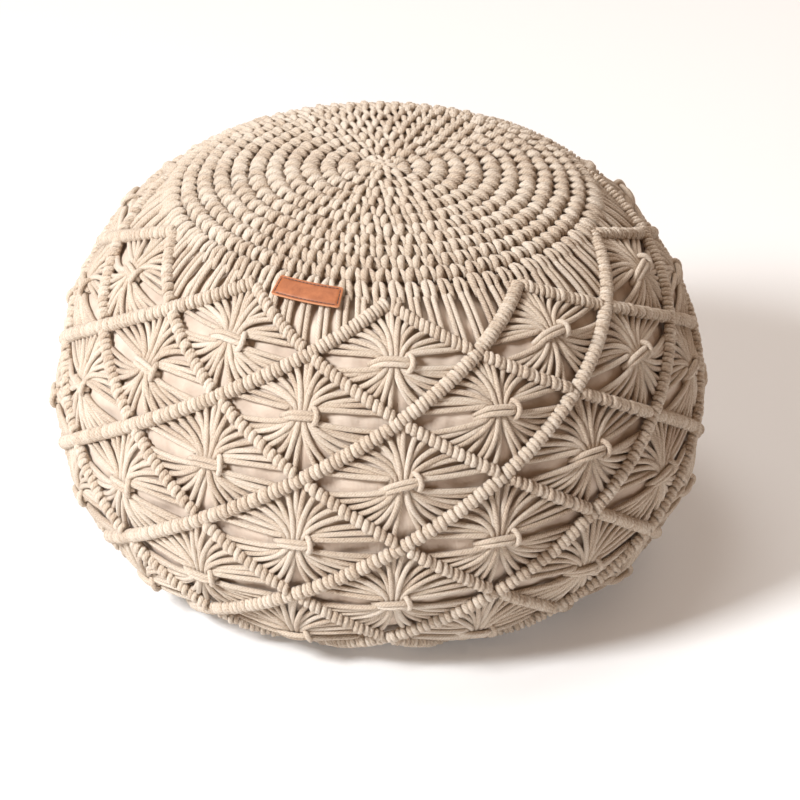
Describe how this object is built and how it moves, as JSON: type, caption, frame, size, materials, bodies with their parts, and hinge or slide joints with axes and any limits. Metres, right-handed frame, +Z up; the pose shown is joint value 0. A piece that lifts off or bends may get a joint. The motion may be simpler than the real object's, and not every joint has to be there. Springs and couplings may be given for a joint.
{
  "type": "floor cushion",
  "caption": "Round stuffed floor pouf: canvas lining inside a hand-knotted cotton cord net with a ringed top disc, fan-knot diamonds, leather label and zipped base.",
  "frame": {"origin": "on the floor under the middle of the cushion, at the centre of the base", "axes": "+Z up; -Y is the front, where the leather label is; +X is to the right seen from the front and runs along the zip"},
  "size_m": [0.541, 0.5398, 0.34],
  "materials": {
    "cotton_cord": "natural twisted cotton cord, matt",
    "canvas": "cream plain-weave cotton canvas",
    "inner_cotton": "white cotton muslin",
    "stuffing": "loose fibre and foam crumb",
    "tan_leather": "tan vegetable leather, smooth, blind-tooled border",
    "brown_thread": "waxed brown thread",
    "zip_tape": "woven tape",
    "zip_teeth": "nylon coil",
    "zip_metal": "nickel-plated"
  },
  "bodies": {
    "root": {"base_panel_back": "canvas", "base_panel_front": "canvas", "centre_knot": "cotton_cord", "falling_rib_01": "cotton_cord", "falling_rib_02": "cotton_cord", "falling_rib_03": "cotton_cord", "falling_rib_04": "cotton_cord", "falling_rib_05": "cotton_cord", "falling_rib_06": "cotton_cord", "falling_rib_07": "cotton_cord", "falling_rib_08": "cotton_cord", "falling_rib_09": "cotton_cord", "falling_rib_10": "cotton_cord", "fan_cords_row_1": "cotton_cord", "fan_cords_row_2": "cotton_cord", "fan_cords_row_3": "cotton_cord", "fan_cords_row_4": "cotton_cord", "fan_cords_row_5": "cotton_cord", "fan_cords_row_6": "cotton_cord", "filling": "stuffing", "fringe_cords": "cotton_cord", "hem_ring": "cotton_cord", "inner_bag_bottom": "inner_cotton", "inner_bag_top": "inner_cotton", "knotted_rings_01_02": "cotton_cord", "knotted_rings_03_04": "cotton_cord", "knotted_rings_05_06": "cotton_cord", "knotted_rings_07_08": "cotton_cord", "knotted_rings_09_10": "cotton_cord", "knotted_rings_11_12": "cotton_cord", "label_stitching": "brown_thread", "leather_label": "tan_leather", "lining_side": "canvas", "lining_top": "canvas", "rising_rib_01": "cotton_cord", "rising_rib_02": "cotton_cord", "rising_rib_03": "cotton_cord", "rising_rib_04": "cotton_cord", "rising_rib_05": "cotton_cord", "rising_rib_06": "cotton_cord", "rising_rib_07": "cotton_cord", "rising_rib_08": "cotton_cord", "rising_rib_09": "cotton_cord", "rising_rib_10": "cotton_cord", "square_knots_row_1": "cotton_cord", "square_knots_row_2": "cotton_cord", "square_knots_row_3": "cotton_cord", "square_knots_row_4": "cotton_cord", "square_knots_row_5": "cotton_cord", "square_knots_row_6": "cotton_cord", "zip_stops": "zip_metal", "zip_tape_back": "zip_tape", "zip_tape_front": "zip_tape", "zip_teeth_back": "zip_teeth", "zip_teeth_front": "zip_teeth"},
    "slider": {"zip_slider": "zip_metal"},
    "puller": {"zip_puller": "zip_metal"}
  },
  "joints": [
    {"name": "zip_slide", "type": "slide", "parent": "root", "child": "slider", "axis": [1, 0, 0], "range_m": [-0.28, 0]},
    {"name": "puller_hinge", "type": "hinge", "parent": "slider", "child": "puller", "pos_m": [0.138, 0, 0.00785], "axis": [0, 1, 0], "range_deg": [0, 170]}
  ]
}
